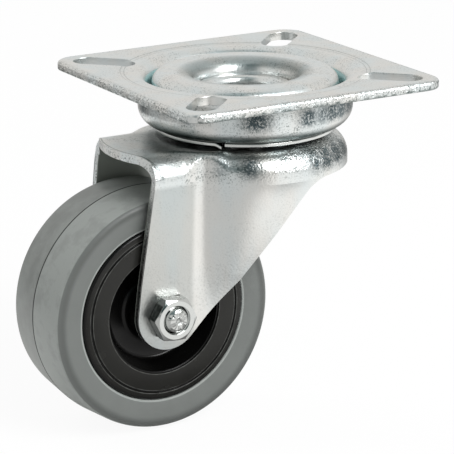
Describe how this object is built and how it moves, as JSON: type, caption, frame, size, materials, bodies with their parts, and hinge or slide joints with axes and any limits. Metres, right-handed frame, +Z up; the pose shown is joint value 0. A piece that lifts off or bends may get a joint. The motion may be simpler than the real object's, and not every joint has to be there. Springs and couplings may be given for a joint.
{
  "type": "swivel castor",
  "caption": "Swivel castor with a grey rubber tyre on a black wheel centre, in a pressed steel fork that turns on ball races under a square bolt-down plate",
  "frame": {"origin": "On the swivel axis, in the mounting face on top of the plate", "axes": "+Z up along the swivel axis, out of the mounting face; +Y along the wheel's axle; -X the way the wheel trails"},
  "size_m": [0.08, 0.06, 0.071],
  "materials": {
    "zinc_plate": "bright zinc plating on pressed steel",
    "bright_steel": "bright zinc plating on turned and wire parts",
    "ball_steel": "polished hardened steel",
    "hub_plastic": "moulded black plastic with a soft gloss",
    "tyre_rubber": "satin grey rubber"
  },
  "bodies": {
    "plate": {"top_plate": "zinc_plate"},
    "swivel_fork": {"fork": "zinc_plate", "race_cap": "zinc_plate", "king_rivet": "zinc_plate", "dust_ring": "bright_steel", "axle_bolt": "bright_steel", "axle_nut": "bright_steel", "axle_sleeve": "bright_steel", "upper_ball_01": "ball_steel", "upper_ball_02": "ball_steel", "upper_ball_03": "ball_steel", "upper_ball_04": "ball_steel", "upper_ball_05": "ball_steel", "upper_ball_06": "ball_steel", "upper_ball_07": "ball_steel", "upper_ball_08": "ball_steel", "upper_ball_09": "ball_steel", "upper_ball_10": "ball_steel", "upper_ball_11": "ball_steel", "upper_ball_12": "ball_steel", "upper_ball_13": "ball_steel", "upper_ball_14": "ball_steel", "upper_ball_15": "ball_steel", "upper_ball_16": "ball_steel", "upper_ball_17": "ball_steel", "lower_ball_01": "ball_steel", "lower_ball_02": "ball_steel", "lower_ball_03": "ball_steel", "lower_ball_04": "ball_steel", "lower_ball_05": "ball_steel", "lower_ball_06": "ball_steel", "lower_ball_07": "ball_steel", "lower_ball_08": "ball_steel", "lower_ball_09": "ball_steel", "lower_ball_10": "ball_steel", "lower_ball_11": "ball_steel", "lower_ball_12": "ball_steel", "lower_ball_13": "ball_steel", "lower_ball_14": "ball_steel", "lower_ball_15": "ball_steel", "lower_ball_16": "ball_steel"},
    "wheel": {"hub": "hub_plastic", "tyre": "tyre_rubber"}
  },
  "joints": [
    {"name": "swivel", "type": "hinge", "parent": "plate", "child": "swivel_fork", "pos_m": [0, 0, 0], "axis": [0, 0, 1], "continuous": true},
    {"name": "wheel_spin", "type": "hinge", "parent": "swivel_fork", "child": "wheel", "pos_m": [-0.025, 0, -0.046], "axis": [0, 1, 0], "continuous": true}
  ]
}
